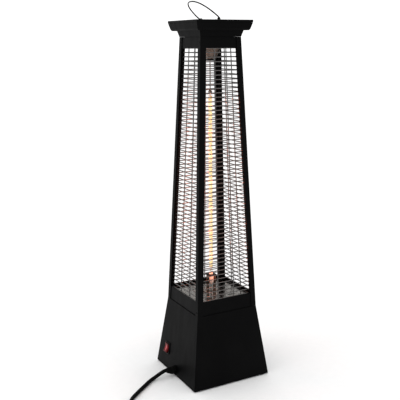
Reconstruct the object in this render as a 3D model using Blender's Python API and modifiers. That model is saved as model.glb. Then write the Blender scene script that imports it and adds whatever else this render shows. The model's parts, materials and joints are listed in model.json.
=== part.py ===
"""Electric pyramid patio heater: flared base, tapering wire-grilled tower, flared cap and bail handle.

Metres, +Z up, the origin on the floor under the centre of the base. The front faces -Y, and the switch and
the mains lead are on the left side, which faces -X.
"""

import math

import bmesh
import bpy
from mathutils import Matrix, Vector

# ---- Driving dimensions ----
FOOT_RISE = 0.003  # the feet lift the base this far off the floor
BASE_HALF = 0.110  # half width of the base along its lower edge
SHOULDER_Z = 0.187  # the tower stands on the base at this height
SHOULDER_HALF = 0.0855
TOWER_TOP_Z = 0.866
TOWER_TOP_HALF = 0.0556
WINDOW_Z = (0.223, 0.840)  # lower and upper edge of the four grilled windows
CAP_HALF = 0.0762
CAP_TOP_Z = 0.9045
SHEET = 0.0012  # thickness of the painted sheet steel
GAP = 0.0003  # between pieces that touch
CORNER_RADIUS = 0.0028  # outer radius of the folded vertical edges
SIDES = ("front", "right", "rear", "left")
CORNERS = ("front_right", "rear_right", "rear_left", "front_left")

FILL_SCALE = 1000  # outlines are filled in millimetres, because filling is coarse on very small shapes

# ---- Tower ----
FLANGE = 0.0145  # width of a post's flanges
PANEL_INSET = SHEET + GAP
PANEL_LIP = 0.010
WIRE = 0.0025  # thickness of the grille wires
EDGE_BAR = (0.0015, 0.0068)  # thickness and depth of a grille's two edge bars
WIRE_PITCH = 0.010445
WIRE_COUNT = 62
FIRST_WIRE_Z = 0.2131
GRILLE_INSET = 2 * (SHEET + GAP) + 0.0003  # the wires' outer side, behind the flanges and the panels
GRILLE_CLEAR = 0.0115  # between a grille's ends and the tower's outer corner
UPRIGHT_SHARE = 0.275  # place of the two upright wires over the tower's half width
TRAY_Z = 0.2150
TRAY_SHEET = 0.0010
TRAY_CLEAR = 0.0116  # between the floor plate's edges and the tower's outer side

# ---- Lamp, on the tower's axis ----
TUBE_RADIUS = 0.0060
TUBE_WALL = 0.0011
TUBE_Z = (0.2650, 0.7320)
COIL_Z = (0.2800, 0.7240)
ELEMENT_RADIUS = 0.0044
LOWER_HOLDER_HALF = 0.0108
UPPER_HOLDER_HALF = 0.0080
HOLDER_THICK = 0.0030
LOWER_HOLDER_Z = 0.2595
UPPER_HOLDER_Z = 0.8110
DEFLECTOR_TOP_Z = 0.8440

# ---- Cap and bail handle ----
COLLAR_HALF = 0.0608
COLLAR_TOP_Z = 0.8838
BAIL_AXIS_Z = CAP_TOP_Z + 0.0035
BAIL_WIRE = 0.0015  # radius
BAIL_HALF_SPAN = 0.0500
BAIL_HEIGHT = 0.0640
BAIL_LEAN = math.radians(51.8)  # from upright towards -X, where it rests
BAIL_ROUNDNESS = 2.3  # exponent of the arch: 2 is an ellipse, more is squarer
LUG_Y = 0.0440

# ---- Switch and lead, on the left wall ----
SWITCH_Y = 0.0560
SWITCH_Z = 0.0560
SWITCH_BODY = (0.0212, 0.0280, 0.0200)  # across, up, deep
SWITCH_RIM = (0.0252, 0.0320, 0.0020)
ROCKER_SIZE = (0.0176, 0.0240)  # across, up
ROCKER_TILT = math.radians(9)
GLAND_Y = 0.0040
GLAND_Z = 0.0155
GLAND_LENGTH = 0.0240
LEAD_RADIUS = 0.00475
LEAD_FLOOR = LEAD_RADIUS + 0.0001
COIL_CENTRE = Vector((-0.2418, -0.2022, 0))
COIL_MID_RADIUS = 0.0475
COIL_TURNS_WIDE = 3
COIL_HEIGHT = 0.0188
PLUG_Z = 0.0188
PLUG_CORD_END = Vector((-0.1580, -0.2592, PLUG_Z))

TOWER_SLOPE = math.atan2(SHOULDER_HALF - TOWER_TOP_HALF, TOWER_TOP_Z - SHOULDER_Z)
BASE_SLOPE = math.atan2(BASE_HALF - SHOULDER_HALF, SHOULDER_Z - FOOT_RISE)


# ---- Scene and materials ----
def empty_scene():
    for thing in list(bpy.data.objects):
        bpy.data.objects.remove(thing, do_unlink=True)


def new_collection(name):
    collection = bpy.data.collections.new(name)
    bpy.context.scene.collection.children.link(collection)
    return collection


def finish(name, colour, roughness, metallic=0.0):
    material = bpy.data.materials.new(name)
    material.use_nodes = True
    shader = material.node_tree.nodes["Principled BSDF"]
    shader.inputs["Base Color"].default_value = (*colour, 1)
    shader.inputs["Roughness"].default_value = roughness
    shader.inputs["Metallic"].default_value = metallic
    return material


empty_scene()
PARTS = new_collection("outdoor_heater")
CUTTERS = new_collection("cutters")
BLACK = finish("black_paint", (0.012, 0.012, 0.013), 0.42)
STAINLESS = finish("stainless", (0.62, 0.60, 0.58), 0.22, 1.0)
CHROMED = finish("chromed_wire", (0.70, 0.69, 0.68), 0.18, 1.0)
ZINC = finish("zinc_plate", (0.50, 0.50, 0.50), 0.35, 1.0)
RUBBER = finish("black_rubber", (0.015, 0.015, 0.015), 0.75)
PLASTIC = finish("black_plastic", (0.014, 0.014, 0.014), 0.45)
RED = finish("red_rocker", (0.45, 0.012, 0.010), 0.25)
CERAMIC = finish("ceramic", (0.80, 0.76, 0.70), 0.60)
QUARTZ = finish("quartz", (0.90, 0.88, 0.84), 0.05)
GLOWING = finish("glowing_element", (1.0, 0.55, 0.18), 0.50)
BRASS = finish("brass", (0.72, 0.55, 0.25), 0.30, 1.0)
SLEEVE = finish("wire_sleeve", (0.55, 0.53, 0.48), 0.70)


# ---- Shape helpers ----
def lerp(a, b, t):
    return a + (b - a) * t


def base_half(z):
    return lerp(BASE_HALF, SHOULDER_HALF, (z - FOOT_RISE) / (SHOULDER_Z - FOOT_RISE))


def tower_half(z):
    return lerp(SHOULDER_HALF, TOWER_TOP_HALF, (z - SHOULDER_Z) / (TOWER_TOP_Z - SHOULDER_Z))


def place(name, data, material, frame=None, collection=None):
    """Link a mesh or curve as an object of the heater, or as a cutter."""
    item = bpy.data.objects.new(name, data)
    (collection or PARTS).objects.link(item)
    item.matrix_world = frame or Matrix.Identity(4)
    if material:
        data.materials.append(material)
    if collection is CUTTERS:
        item.hide_render = True
        item.display_type = "WIRE"
    return item


def smooth(mesh):
    mesh.shade_smooth()
    mesh.set_sharp_from_angle(angle=math.radians(35))


def mesh_from(bm, name):
    mesh = bpy.data.meshes.new(name)
    bm.to_mesh(mesh)
    bm.free()
    smooth(mesh)
    return mesh


def as_mesh(curve, material, frame, collection=None):
    """Turn a filled outline into a closed mesh object, with its caps welded on."""
    guide = place(curve.name + "_curve", curve, None)
    bpy.context.view_layer.update()
    evaluated = guide.evaluated_get(bpy.context.evaluated_depsgraph_get())
    mesh = bpy.data.meshes.new_from_object(evaluated)
    bm = bmesh.new()
    bm.from_mesh(mesh)
    bmesh.ops.scale(bm, vec=Vector((1, 1, 1)) / FILL_SCALE, verts=bm.verts)
    bmesh.ops.remove_doubles(bm, verts=bm.verts, dist=1e-6)
    bmesh.ops.recalc_face_normals(bm, faces=bm.faces)
    bm.to_mesh(mesh)
    bm.free()
    smooth(mesh)
    name = curve.name
    bpy.data.objects.remove(guide, do_unlink=True)
    return place(name, mesh, material, frame, collection)


def plate(name, outline, holes, thickness, frame, material, collection=None):
    """A flat plate with holes, centred on the frame's XY plane."""
    curve = bpy.data.curves.new(name, "CURVE")
    curve.dimensions = "2D"
    curve.fill_mode = "BOTH"
    curve.extrude = FILL_SCALE * thickness / 2
    for loop in (outline, *holes):
        spline = curve.splines.new("POLY")
        spline.points.add(len(loop) - 1)
        for point, (x, y) in zip(spline.points, loop):
            point.co = (FILL_SCALE * x, FILL_SCALE * y, 0, 1)
        spline.use_cyclic_u = True
    return as_mesh(curve, material, frame, collection)


def rectangle(width, height, x=0.0, y=0.0):
    return [(x + i * width / 2, y + j * height / 2) for i, j in ((-1, -1), (1, -1), (1, 1), (-1, 1))]


def circle(radius, x=0.0, y=0.0, count=16):
    angles = [2 * math.pi * i / count for i in range(count)]
    return [(x + radius * math.cos(a), y + radius * math.sin(a)) for a in angles]


def sheet(name, rows, thickness, material, closed=False, capped=False):
    """Thin sheet through rows of points, each row drawn out of the last; the rows lie on its outer side."""
    bm = bmesh.new()
    points = [bm.verts.new(point) for point in rows[0]]
    pairs = list(zip(points, points[1:] + points[:1])) if closed else list(zip(points, points[1:]))
    edges = [bm.edges.new(pair) for pair in pairs]
    if capped:
        bmesh.ops.edgeloop_fill(bm, edges=edges)
    for row in rows[1:]:
        made = bmesh.ops.extrude_edge_only(bm, edges=edges)["geom"]
        fresh = {tuple(item.co): item for item in made if isinstance(item, bmesh.types.BMVert)}
        points = [fresh[tuple(point.co)] for point in points]
        ends = set(points)
        drawn = [item for item in made if isinstance(item, bmesh.types.BMEdge)]
        edges = [item for item in drawn if ends.issuperset(item.verts)]
        for point, goal in zip(points, row):
            point.co = goal
    bmesh.ops.recalc_face_normals(bm, faces=bm.faces)
    widest = max(bm.faces, key=lambda face: face.calc_area())
    inside = Vector((0, 0, rows[0][0][2]))
    if capped:
        inside.z = rows[-1][0][2]
    if widest.normal.dot(widest.calc_center_median() - inside) < 0:
        bmesh.ops.reverse_faces(bm, faces=bm.faces)
    item = place(name, mesh_from(bm, name), material)
    solid = item.modifiers.new("thickness", "SOLIDIFY")
    solid.thickness = thickness
    solid.offset = -1
    solid.use_even_offset = True
    return item


def square_ring(half, z, radius=CORNER_RADIUS, steps=3):
    """Points round a square with rounded corners, anticlockwise from the front right corner."""
    ring = []
    for quarter in range(4):
        centre = Matrix.Rotation(quarter * math.pi / 2, 3, "Z") @ Vector((half - radius, radius - half, 0))
        for step in range(steps + 1):
            angle = (quarter - 1 + step / steps) * math.pi / 2
            ring.append((centre.x + radius * math.cos(angle), centre.y + radius * math.sin(angle), z))
    return ring


def square_shell(name, profile, material, thickness=SHEET, capped=False, radius=CORNER_RADIUS):
    """A four-sided sheet casing from rings of (half width, height)."""
    rows = [square_ring(half, z, radius) for half, z in profile]
    return sheet(name, rows, thickness, material, closed=True, capped=capped)


def box(name, size, frame, material, bevel=0.0, collection=None):
    bm = bmesh.new()
    bmesh.ops.create_cube(bm, size=1.0, matrix=Matrix.Diagonal((*size, 1)))
    if bevel:
        bmesh.ops.bevel(bm, geom=bm.edges, offset=bevel, segments=2, affect="EDGES", profile=0.5)
    return place(name, mesh_from(bm, name), material, frame, collection)


def turned(name, profile, frame, material, steps=24, collection=None):
    """A turned solid from (radius, height) points that run down its outer side."""
    bm = bmesh.new()
    points = [bm.verts.new((radius, 0, height)) for radius, height in profile]
    closed = profile[0][0] > 0
    for pair in zip(points, points[1:] + points[:1] if closed else points[1:]):
        bm.edges.new(pair)
    item = place(name, mesh_from(bm, name), material, frame, collection)
    screw = item.modifiers.new("turn", "SCREW")
    screw.steps = screw.render_steps = steps
    screw.use_merge_vertices = True
    screw.merge_threshold = 0.00001
    screw.use_smooth_shade = True
    return item


def tube(name, points, radius, material, resolution=2):
    curve = bpy.data.curves.new(name, "CURVE")
    curve.dimensions = "3D"
    curve.bevel_depth = radius
    curve.bevel_resolution = resolution
    curve.use_fill_caps = True
    spline = curve.splines.new("POLY")
    spline.points.add(len(points) - 1)
    for point, goal in zip(spline.points, points):
        point.co = (*goal, 1)
    return place(name, curve, material)


def smooth_path(route, step):
    """Points about a step apart on a Catmull-Rom curve through the route."""
    route = [Vector(point) for point in route]
    padded = [2 * route[0] - route[1], *route, 2 * route[-1] - route[-2]]
    path = []
    for a, b, c, d in zip(padded, padded[1:], padded[2:], padded[3:]):
        count = max(1, round((c - b).length / step))
        for i in range(count):
            t = i / count
            bend = 2 * a - 5 * b + 4 * c - d
            twist = 3 * b - a - 3 * c + d
            path.append(0.5 * (2 * b + (c - a) * t + bend * t**2 + twist * t**3))
    return [*path, route[-1]]


def combine(target, cutter, operation="DIFFERENCE"):
    step = target.modifiers.new(operation.lower(), "BOOLEAN")
    step.operation = operation
    step.solver = "EXACT"
    step.object = cutter


def side_frame(side, foot_half, foot_z, slope, inset=0.0):
    """Axes on a sloping side: X along it, Y up it and Z straight out of it."""
    up = Vector((0, math.sin(slope), math.cos(slope)))
    out = Vector((0, -math.cos(slope), math.sin(slope)))
    frame = Matrix((Vector((1, 0, 0)), up, out)).transposed().to_4x4()
    frame.translation = Vector((0, -foot_half, foot_z)) - out * inset
    return Matrix.Rotation(side * math.pi / 2, 4, "Z") @ frame


def left_wall(y, z):
    """Axes on the outside of the base's left wall: X towards the front, Y up the wall and Z out of it."""
    frame = side_frame(3, base_half(z), z, BASE_SLOPE)
    frame.translation.y = y
    return frame


def at(x, y, z):
    return Matrix.Translation((x, y, z))


# ---- Base ----
def make_base():
    shell = square_shell(
        "base_shell",
        [(0.098, FOOT_RISE), (BASE_HALF, FOOT_RISE), (SHOULDER_HALF, SHOULDER_Z), (0.074, SHOULDER_Z)],
        BLACK,
    )
    switch_hole = box(
        "switch_hole",
        (SWITCH_BODY[0] + 2 * GAP, SWITCH_BODY[1] + 2 * GAP, 0.02),
        left_wall(SWITCH_Y, SWITCH_Z),
        None,
        collection=CUTTERS,
    )
    gland_profile = [(0, 0.01), (0.0070, 0.01), (0.0070, -0.01), (0, -0.01)]
    gland_hole = turned("gland_hole", gland_profile, left_wall(GLAND_Y, GLAND_Z), None, collection=CUTTERS)
    wire_place = tower_half(SHOULDER_Z) - 0.0047
    wire_profile = [(0, 0.008), (0.0035, 0.008), (0.0035, -0.008), (0, -0.008)]
    wire_spot = at(-wire_place, -wire_place, SHOULDER_Z)
    wire_hole = turned("wire_hole", wire_profile, wire_spot, None, steps=12, collection=CUTTERS)
    for cutter in (switch_hole, gland_hole, wire_hole):
        combine(shell, cutter)

    deck_hole = circle(0.0060)
    plate("base_deck", rectangle(0.164, 0.164), [deck_hole], SHEET, at(0, 0, SHOULDER_Z - 0.0036), ZINC)
    combine(bpy.data.objects["base_deck"], wire_hole)

    slots = [rectangle(0.050, 0.004, 0.0, row * 0.012 - 0.060) for row in range(4)]
    slots += [rectangle(0.050, 0.004, 0.0, row * 0.012 + 0.048) for row in range(2)]
    plate("bottom_plate", rectangle(0.2140, 0.2140), slots, SHEET, at(0, 0, FOOT_RISE + 0.0021), ZINC)

    for name, turn in zip(CORNERS, range(4)):
        spot = Matrix.Rotation(turn * math.pi / 2, 4, "Z") @ at(0.086, -0.086, 0)
        foot_profile = [
            (0.0038, 0.0042),
            (0.0100, 0.0042),
            (0.0092, 0.0),
            (0.0052, 0.0),
            (0.0048, 0.0020),
            (0.0038, 0.0020),
        ]
        turned("foot_" + name, foot_profile, spot, RUBBER, steps=16)
        screw_profile = [
            (0, 0.0042),
            (0.0018, 0.0042),
            (0.0018, 0.0017),
            (0.0034, 0.0017),
            (0.0034, 0.0005),
            (0, 0.0005),
        ]
        turned("foot_screw_" + name, screw_profile, spot, ZINC, steps=10)


# ---- Tower ----
def corner_rows(z):
    """One post's cross-section at a height, from the front flange's edge round the front right corner."""
    half = tower_half(z)
    radius = CORNER_RADIUS
    row = [(half - FLANGE, -half, z)]
    for step in range(4):
        angle = (step / 3 - 1) * math.pi / 2
        row.append((half - radius + radius * math.cos(angle), radius - half + radius * math.sin(angle), z))
    row.append((half, FLANGE - half, z))
    return row


def panel_rows(side, edge_z, lip_z):
    """Rows of a panel between two posts: its window edge, the folded edge and the lip's inner edge."""
    rows = []
    for z, inward in ((edge_z, 0.0), (lip_z, 0.0), (lip_z, PANEL_LIP)):
        depth = tower_half(z) - PANEL_INSET
        span = min(tower_half(z) - 0.5 * FLANGE - 0.0010, depth - inward - 0.0010)
        turn = Matrix.Rotation(side * math.pi / 2, 3, "Z")
        rows.append([tuple(turn @ Vector((i * span, inward - depth, z))) for i in (-1, 1)])
    return rows


def make_tower():
    foot_z = SHOULDER_Z + GAP
    for name, turn in zip(CORNERS, range(4)):
        spin = Matrix.Rotation(turn * math.pi / 2, 3, "Z")
        rows = [[tuple(spin @ Vector(point)) for point in corner_rows(z)] for z in (foot_z, TOWER_TOP_Z)]
        sheet("post_" + name, rows, SHEET, BLACK)
    for side, name in enumerate(SIDES):
        sheet("neck_panel_" + name, panel_rows(side, WINDOW_Z[0], foot_z), SHEET - 0.0002, BLACK)
        sheet("header_panel_" + name, panel_rows(side, WINDOW_Z[1], TOWER_TOP_Z), SHEET - 0.0002, BLACK)
        make_grille(side, name)


def make_grille(side, name):
    """A welded panel: rungs between two edge bars, with two upright wires behind them."""
    slant = math.cos(TOWER_SLOPE)
    frame = side_frame(side, tower_half(FIRST_WIRE_Z), FIRST_WIRE_Z, TOWER_SLOPE, GRILLE_INSET + WIRE / 2)
    rungs = [i * WIRE_PITCH / slant for i in range(WIRE_COUNT)]
    low, high = rungs[0], rungs[-1]

    def span(up):
        return tower_half(FIRST_WIRE_Z + up * slant) - GRILLE_CLEAR - EDGE_BAR[0] / 2

    bm = bmesh.new()
    for up in rungs:
        rung = at(0, up, 0) @ Matrix.Diagonal((2 * span(up), WIRE, WIRE, 1))
        bmesh.ops.create_cube(bm, size=1.0, matrix=rung)
    grille = place("grille_" + name, mesh_from(bm, "grille_" + name), CHROMED, frame)

    back, front, hook = -1.65 * WIRE, -0.65 * WIRE, -0.2 * WIRE
    reach = 0.35 * WIRE
    staple = [
        (low - reach, back),
        (high + reach, back),
        (high + reach, hook),
        (high - reach, hook),
        (high - reach, front),
        (low + reach, front),
        (low + reach, hook),
        (low - reach, hook),
    ]
    on_edge = Matrix(((0, 0, 1, 0), (1, 0, 0, 0), (0, 1, 0, 0), (0, 0, 0, 1)))
    share = UPRIGHT_SHARE * (TOWER_TOP_HALF - SHOULDER_HALF) / (TOWER_TOP_Z - SHOULDER_Z) * slant
    for sign in (-1, 1):
        lean = Matrix.Rotation(sign * math.atan(slant * math.tan(TOWER_SLOPE)), 4, "Z")
        edge = frame @ at(sign * span(0), 0, 0) @ lean @ at(0, (low + high) / 2, 0.0014 - EDGE_BAR[1] / 2)
        length = (high - low) / lean[0][0] + 0.0040
        edge_bar = box("edge_" + name, (EDGE_BAR[0], length, EDGE_BAR[1]), edge, None, collection=CUTTERS)
        combine(grille, edge_bar, "UNION")
        stand = at(sign * UPRIGHT_SHARE * tower_half(FIRST_WIRE_Z), 0, 0)
        stand = stand @ Matrix.Rotation(-sign * math.atan(share), 4, "Z") @ on_edge
        upright = plate("upright_" + name, staple, [], WIRE, frame @ stand, None, collection=CUTTERS)
        combine(grille, upright, "UNION")


# ---- Inside the tower ----
def make_reflectors():
    half = tower_half(TRAY_Z) - TRAY_CLEAR
    rows = (-0.046, -0.034, 0.034, 0.046)
    slots = [rectangle(0.022, 0.0035, x, y) for x in (-0.034, 0.034) for y in rows]
    outline = rectangle(2 * half, 2 * half)
    holes = [circle(0.0050), *slots]
    middle = at(0, 0, TRAY_Z - TRAY_SHEET / 2)
    plate("floor_reflector", outline, holes, TRAY_SHEET, middle, STAINLESS)
    square_shell(
        "upper_deflector",
        [
            (0.0098, UPPER_HOLDER_Z + HOLDER_THICK + GAP),
            (0.0224, DEFLECTOR_TOP_Z - 0.0010),
            (0.0440, DEFLECTOR_TOP_Z),
        ],
        STAINLESS,
        thickness=0.0008,
        capped=True,
        radius=0.0015,
    )
    ceiling = at(0, 0, DEFLECTOR_TOP_Z + 0.0018)
    plate("ceiling_plate", rectangle(0.0900, 0.0900), [circle(0.0060)], 0.0010, ceiling, STAINLESS)


def make_lamp():
    outer, inner = TUBE_RADIUS, TUBE_RADIUS - TUBE_WALL
    low, high = TUBE_Z
    turned("lamp_tube", [(inner, high), (outer, high), (outer, low), (inner, low)], at(0, 0, 0), QUARTZ)
    lead = 0.0009
    element = [
        (0, high),
        (lead, high),
        (lead, COIL_Z[1] + 0.001),
        (ELEMENT_RADIUS, COIL_Z[1]),
        (ELEMENT_RADIUS, COIL_Z[0]),
        (lead, COIL_Z[0] - 0.001),
        (lead, low),
        (0, low),
    ]
    turned("lamp_element", element, at(0, 0, 0), GLOWING, steps=16)
    plate_top = LOWER_HOLDER_Z + HOLDER_THICK
    lower = [
        (0, low - GAP),
        (0.0050, low - GAP),
        (0.0050, LOWER_HOLDER_Z - 0.0023),
        (0.0068, LOWER_HOLDER_Z - 0.0023),
        (0.0068, LOWER_HOLDER_Z - 0.0195),
        (0.0056, LOWER_HOLDER_Z - 0.0210),
        (0, LOWER_HOLDER_Z - 0.0210),
    ]
    turned("lamp_socket_lower", lower, at(0, 0, 0), CERAMIC, steps=20)
    top = UPPER_HOLDER_Z - GAP
    upper = [
        (0, top),
        (0.0013, top),
        (0.0013, 0.7400),
        (0.0024, 0.7390),
        (0.0046, 0.7350),
        (0.0050, high + GAP),
        (0, high + GAP),
    ]
    turned("lamp_cap_upper", upper, at(0, 0, 0), CERAMIC, steps=16)

    square = rectangle(2 * LOWER_HOLDER_HALF, 2 * LOWER_HOLDER_HALF)
    lower_middle = (LOWER_HOLDER_Z + plate_top) / 2
    plate("lamp_holder_lower", square, [circle(0.0054)], HOLDER_THICK, at(0, 0, lower_middle), BLACK)
    box(
        "lamp_holder_upper",
        (2 * UPPER_HOLDER_HALF, 2 * UPPER_HOLDER_HALF, HOLDER_THICK),
        at(0, 0, UPPER_HOLDER_Z + HOLDER_THICK / 2),
        BLACK,
        bevel=0.0004,
    )
    socket = [(0, 0.8325), (0.0060, 0.8325), (0.0068, 0.8315), (0.0068, 0.8165), (0, 0.8165)]
    turned("lamp_socket_upper", socket, at(0, 0, 0), CERAMIC, steps=16)

    strap, half_wide = 0.0012, 0.0070
    top = LOWER_HOLDER_Z - GAP
    foot = TRAY_Z + GAP + strap
    half_path = [(0.0104, top), (0.0104, foot), (0.0200, foot)]
    places = [(-x, z) for x, z in reversed(half_path)] + half_path
    rows = [[(x, y, z) for y in (-half_wide, half_wide)] for x, z in places]
    bracket = sheet("lamp_bracket", rows, strap, STAINLESS)
    neck_profile = [(0, 0.005), (0.0055, 0.005), (0.0055, -0.005), (0, -0.005)]
    combine(bracket, turned("neck_hole", neck_profile, at(0, 0, top), None, steps=20, collection=CUTTERS))


# ---- Cap and handle ----
def make_cap():
    collar_foot = TOWER_TOP_Z + GAP
    square_shell(
        "cap_collar",
        [
            (0.0460, collar_foot),
            (TOWER_TOP_HALF, collar_foot),
            (COLLAR_HALF, COLLAR_TOP_Z),
            (0.0480, COLLAR_TOP_Z),
        ],
        BLACK,
        radius=0.002,
    )
    lid_foot = CAP_TOP_Z - 0.0059
    square_shell(
        "cap_hood",
        [
            (0.0480, COLLAR_TOP_Z + GAP),
            (0.0630, COLLAR_TOP_Z + GAP),
            (0.0664, 0.8806),
            (0.0692, 0.8806),
            (0.0718, 0.8845),
            (CAP_HALF - 0.0004, lid_foot - GAP),
            (0.0660, lid_foot - GAP),
        ],
        BLACK,
        thickness=0.0010,
        radius=0.002,
    )
    lid = [(CAP_HALF, CAP_TOP_Z), (CAP_HALF, lid_foot)]
    square_shell("cap_lid", lid, BLACK, capped=True, radius=0.002)


def make_handle():
    for name, sign in (("front", -1), ("rear", 1)):
        base_z = CAP_TOP_Z + GAP
        outline = [
            (-0.0042, base_z),
            (0.0042, base_z),
            (0.0036, BAIL_AXIS_Z),
            (0.0022, BAIL_AXIS_Z + 0.0030),
            (-0.0022, BAIL_AXIS_Z + 0.0030),
            (-0.0036, BAIL_AXIS_Z),
        ]
        upright = Matrix(((1, 0, 0, 0), (0, 0, -1, sign * LUG_Y), (0, 1, 0, 0), (0, 0, 0, 1)))
        eye = circle(0.0021, 0.0, BAIL_AXIS_Z, count=12)
        lug = plate("handle_lug_" + name, outline, [eye], 0.0015, upright, BLACK)
        tab = box(
            "tab_" + name,
            (0.0080, 0.0110, 0.0010),
            at(0, sign * (LUG_Y - 0.0055), base_z + 0.0005),
            None,
            collection=CUTTERS,
        )
        combine(lug, tab, "UNION")

    pivot = bpy.data.objects.new("bail_pivot", None)
    PARTS.objects.link(pivot)
    pivot.location = (0, 0, BAIL_AXIS_Z)
    pivot.rotation_euler = (0, -BAIL_LEAN, 0)
    steps = 26
    loop = [(0, -0.0390, 0), (0, -0.0465, 0)]
    for i in range(1, steps):
        angle = math.pi * i / steps
        across = abs(math.cos(angle)) ** (2 / BAIL_ROUNDNESS) * math.copysign(1, -math.cos(angle))
        up = math.sin(angle) ** (2 / BAIL_ROUNDNESS)
        loop.append((0, BAIL_HALF_SPAN * across, BAIL_HEIGHT * up))
    loop += [(0, 0.0465, 0), (0, 0.0390, 0)]
    bail = tube("bail_handle", loop, BAIL_WIRE, CHROMED)
    bail.parent = pivot


# ---- Switch ----
def make_switch():
    wall = left_wall(SWITCH_Y, SWITCH_Z)
    across, up, deep = SWITCH_BODY
    body = box("switch_body", (across, up, deep), wall @ at(0, 0, 0.0010 - deep / 2), PLASTIC)
    on_wall = wall @ at(0, 0, GAP + SWITCH_RIM[2] / 2)
    rim = box("switch_rim", SWITCH_RIM, on_wall, None, bevel=0.0006, collection=CUTTERS)
    well = box(
        "switch_well",
        (ROCKER_SIZE[0] + 0.0008, ROCKER_SIZE[1] + 0.0022, 0.0140),
        wall @ at(0, 0, 0.0010),
        None,
        collection=CUTTERS,
    )
    combine(body, rim, "UNION")
    combine(body, well)

    pivot = bpy.data.objects.new("rocker_pivot", None)
    PARTS.objects.link(pivot)
    pivot.matrix_world = wall @ at(0, 0, -0.0015)
    half_up = ROCKER_SIZE[1] / 2
    profile = [
        (-half_up, 0.0052),
        (-half_up, 0.0072),
        (-half_up + 0.0008, 0.0078),
        (0.0, 0.0058),
        (half_up - 0.0008, 0.0078),
        (half_up, 0.0072),
        (half_up, 0.0052),
        (0.0060, -0.0016),
        (-0.0060, -0.0016),
    ]
    on_edge = Matrix(((0, 0, 1, 0), (1, 0, 0, 0), (0, 1, 0, 0), (0, 0, 0, 1)))
    rocked = pivot.matrix_world @ Matrix.Rotation(-ROCKER_TILT, 4, "X") @ on_edge
    rocker = plate("switch_rocker", profile, [], ROCKER_SIZE[0], rocked, RED)
    bpy.context.view_layer.update()
    rocker.data.transform(pivot.matrix_world.inverted() @ rocked)
    rocker.parent = pivot
    rocker.matrix_parent_inverse = Matrix.Identity(4)
    rocker.matrix_basis = Matrix.Identity(4)


# ---- Mains lead and wiring ----
def make_gland():
    wall = left_wall(GLAND_Y, GLAND_Z)
    profile = [
        (0, GLAND_LENGTH),
        (0.0060, GLAND_LENGTH),
        (0.0070, 0.0190),
        (0.0092, 0.0130),
        (0.0106, 0.0080),
        (0.0112, 0.0035),
        (0.0112, 0.0010),
        (0.0104, GAP),
        (0.0066, GAP),
        (0.0066, -0.0080),
        (0.0052, -0.0095),
        (0, -0.0095),
    ]
    turned("cord_gland", profile, wall, RUBBER, steps=24)
    nut = [(0.0072, -SHEET - GAP), (0.0092, -SHEET - GAP), (0.0092, -0.0055), (0.0072, -0.0055)]
    turned("gland_nut", nut, wall, PLASTIC, steps=12)


LEAD_ROUTE = (
    (-0.1400, 0.0042, 0.0181),
    (-0.1495, 0.0041, 0.0146),
    (-0.1585, 0.0040, 0.0108),
    (-0.1673, 0.0032, 0.0073),
    (-0.1760, 0.0008, LEAD_FLOOR + 0.0004),
    (-0.1855, -0.0049, LEAD_FLOOR),
    (-0.1949, -0.0120, LEAD_FLOOR),
    (-0.2130, -0.0263, LEAD_FLOOR),
    (-0.2306, -0.0403, LEAD_FLOOR),
    (-0.2474, -0.0541, LEAD_FLOOR),
    (-0.2552, -0.0612, LEAD_FLOOR),
    (-0.2626, -0.0693, LEAD_FLOOR),
    (-0.2693, -0.0786, LEAD_FLOOR),
    (-0.2753, -0.0888, LEAD_FLOOR),
    (-0.2807, -0.0998, LEAD_FLOOR),
    (-0.2855, -0.1114, LEAD_FLOOR),
    (-0.2898, -0.1233, LEAD_FLOOR),
    (-0.2938, -0.1353, LEAD_FLOOR),
    (-0.2975, -0.1473, LEAD_FLOOR),
    (-0.3010, -0.1602, LEAD_FLOOR),
    (-0.3042, -0.1731, LEAD_FLOOR),
    (-0.3072, -0.1860, LEAD_FLOOR),
)

TAIL_ROUTE = (
    (-0.2055, -0.2592, 0.0142),
    (-0.1930, -0.2592, 0.0148),
    (-0.1800, -0.2592, 0.0164),
    (-0.1690, -0.2592, 0.0182),
)


def make_lead():
    wall = left_wall(GLAND_Y, GLAND_Z)
    start = wall @ Vector((0, 0, GLAND_LENGTH + GAP))
    straight = wall @ Vector((0, 0, GLAND_LENGTH + 0.004))
    step = 4.6 * LEAD_RADIUS
    tube("power_cord", smooth_path([start, straight, *LEAD_ROUTE], step), LEAD_RADIUS, RUBBER)
    tail_end = PLUG_CORD_END - Vector((GAP, 0, 0))
    tube("cord_tail", smooth_path([*TAIL_ROUTE, tail_end], step), LEAD_RADIUS, RUBBER)

    thick = COIL_TURNS_WIDE * LEAD_RADIUS
    inner, outer = COIL_MID_RADIUS - thick, COIL_MID_RADIUS + thick
    soft = 0.0035
    profile = [
        (inner + soft, COIL_HEIGHT),
        (outer - soft, COIL_HEIGHT),
        (outer, COIL_HEIGHT - soft),
        (outer, soft),
        (outer - soft, 0.0001),
        (inner + soft, 0.0001),
        (inner, soft),
        (inner, COIL_HEIGHT - soft),
    ]
    turned("cord_coil", profile, at(*COIL_CENTRE), RUBBER, steps=36)


def make_plug():
    along = Matrix(((0, 0, 1, 0), (0, 1, 0, 0), (-1, 0, 0, 0), (0, 0, 0, 1)))
    frame = at(*PLUG_CORD_END) @ along
    profile = [
        (0, 0.0600),
        (0.0172, 0.0600),
        (0.0182, 0.0590),
        (0.0182, 0.0420),
        (0.0160, 0.0330),
        (0.0105, 0.0260),
        (0.0085, 0.0200),
        (0.0064, 0.0000),
        (0, 0.0000),
    ]
    turned("plug_body", profile, frame, RUBBER, steps=28)
    pin = [(0, 0.0795), (0.0014, 0.0795), (0.0024, 0.0780), (0.0024, 0.0603), (0, 0.0603)]
    for name, offset in (("a", -0.0095), ("b", 0.0095)):
        turned("plug_pin_" + name, pin, frame @ at(0, offset, 0), BRASS, steps=12)


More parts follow.
